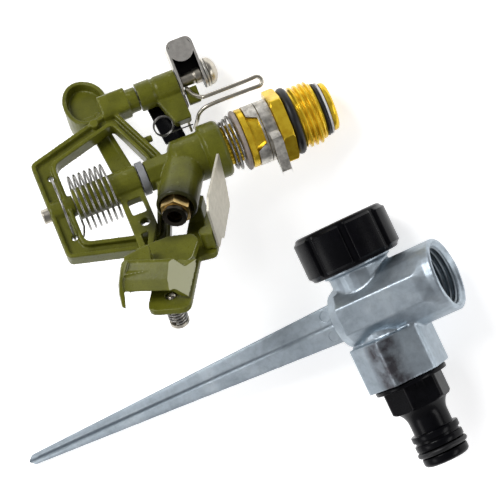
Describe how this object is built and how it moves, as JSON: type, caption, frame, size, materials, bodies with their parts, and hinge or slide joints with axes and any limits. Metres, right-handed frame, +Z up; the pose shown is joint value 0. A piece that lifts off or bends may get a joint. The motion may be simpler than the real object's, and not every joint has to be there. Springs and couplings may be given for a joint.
{
  "type": "impact sprinkler with ground spike",
  "caption": "Part-circle impact sprinkler head in painted metal and brass, lying beside its plated ground spike with hose connector.",
  "frame": {"origin": "on the ground under the middle of both pieces, at the centre of the bounding box footprint", "axes": "+X along the ground spike from its tip to its socket, +Y along the hose line from the hose connector to the end cap, +Z up from the ground"},
  "size_m": [0.1656, 0.1634, 0.0702],
  "materials": {
    "olive_paint": "semi-gloss olive green enamel over a die casting",
    "brass": "bright turned brass",
    "stainless_sheet": "pressed stainless sheet",
    "stainless_rod": "drawn stainless rod and wire",
    "spring_steel": "bright spring wire",
    "zinc_plate": "blue-white zinc die casting, plated",
    "black_plastic": "black moulded plastic, satin",
    "black_rubber": "black rubber",
    "grey_nylon": "grey nylon",
    "white_nylon": "white nylon"
  },
  "bodies": {
    "spike": {"spike_body": "zinc_plate", "hose_connector": "black_plastic", "connector_o_ring": "black_rubber"},
    "cap": {"end_cap": "black_plastic", "end_cap_washer": "black_rubber"},
    "inlet": {"inlet_nipple": "brass", "inlet_o_ring": "black_rubber", "thrust_washer": "white_nylon", "thrust_seal": "black_rubber", "stem_washer": "grey_nylon", "stem_spring": "spring_steel"},
    "lower_collar": {"trip_collar_lower": "stainless_sheet"},
    "upper_collar": {"trip_collar_upper": "stainless_sheet"},
    "head": {"bearing_tube": "brass", "sprinkler_body": "olive_paint", "nozzle": "brass", "arm_pin": "stainless_rod", "arm_washer": "grey_nylon", "arm_spring": "spring_steel", "pivot_screw": "stainless_rod", "pivot_washer": "stainless_sheet", "diffuser_spring": "spring_steel"},
    "swing_arm": {"arm": "olive_paint"},
    "lever": {"trip_lever": "olive_paint", "lever_bar": "black_plastic"},
    "trip": {"trip_bracket": "stainless_sheet", "trip_block": "olive_paint", "pivot_spacer": "stainless_rod", "trip_wire": "stainless_rod", "trip_spring": "spring_steel"},
    "deflector": {"deflector_lever": "olive_paint", "deflector_plate": "stainless_sheet"},
    "diffuser": {"diffuser_screw": "stainless_rod"}
  },
  "joints": [
    {"name": "head_lift", "type": "slide", "parent": "spike", "child": "inlet", "axis": [0, 0, 1], "range_m": [0, 0.15]},
    {"name": "cap_unscrew", "type": "slide", "parent": "spike", "child": "cap", "axis": [0, 1, 0], "range_m": [0, 0.018]},
    {"name": "lower_collar_turn", "type": "hinge", "parent": "inlet", "child": "lower_collar", "pos_m": [0.04776, 0.03876, 0.01553], "axis": [-0.9271, 0.0648, 0.3691], "range_deg": [-90, 75]},
    {"name": "upper_collar_turn", "type": "hinge", "parent": "inlet", "child": "upper_collar", "pos_m": [0.04405, 0.03902, 0.017], "axis": [-0.9271, 0.0648, 0.3691], "range_deg": [-70, 90]},
    {"name": "head_turn", "type": "hinge", "parent": "inlet", "child": "head", "pos_m": [0.04961, 0.03864, 0.01479], "axis": [-0.9271, 0.0648, 0.3691], "range_deg": [-100, 75]},
    {"name": "arm_swing", "type": "hinge", "parent": "head", "child": "swing_arm", "pos_m": [0.00326, 0.04188, 0.03324], "axis": [-0.9271, 0.0648, 0.3691], "range_deg": [0, 110], "stiffness_Nm_per_rad": 0.03, "springref_deg": -28.65},
    {"name": "trip_turn", "type": "hinge", "parent": "head", "child": "trip", "pos_m": [0.02861, 0.06548, 0.0115], "axis": [-0.9271, 0.0648, 0.3691], "range_deg": [-4, 9]},
    {"name": "lever_turn", "type": "hinge", "parent": "head", "child": "lever", "pos_m": [0.01934, 0.06613, 0.01519], "axis": [-0.9271, 0.0648, 0.3691], "range_deg": [-2, 4.5]},
    {"name": "deflector_tilt", "type": "hinge", "parent": "head", "child": "deflector", "pos_m": [0.02303, 0.01552, 0.04658], "axis": [-0.2901, -0.7476, -0.5974], "range_deg": [0, 70]},
    {"name": "diffuser_travel", "type": "slide", "parent": "head", "child": "diffuser", "axis": [-0.2901, -0.7476, -0.5974], "range_m": [0, 0.003]}
  ],
  "couplings": [
    {"joint": "lever_turn", "follows": "trip_turn", "ratio": 0.5}
  ]
}
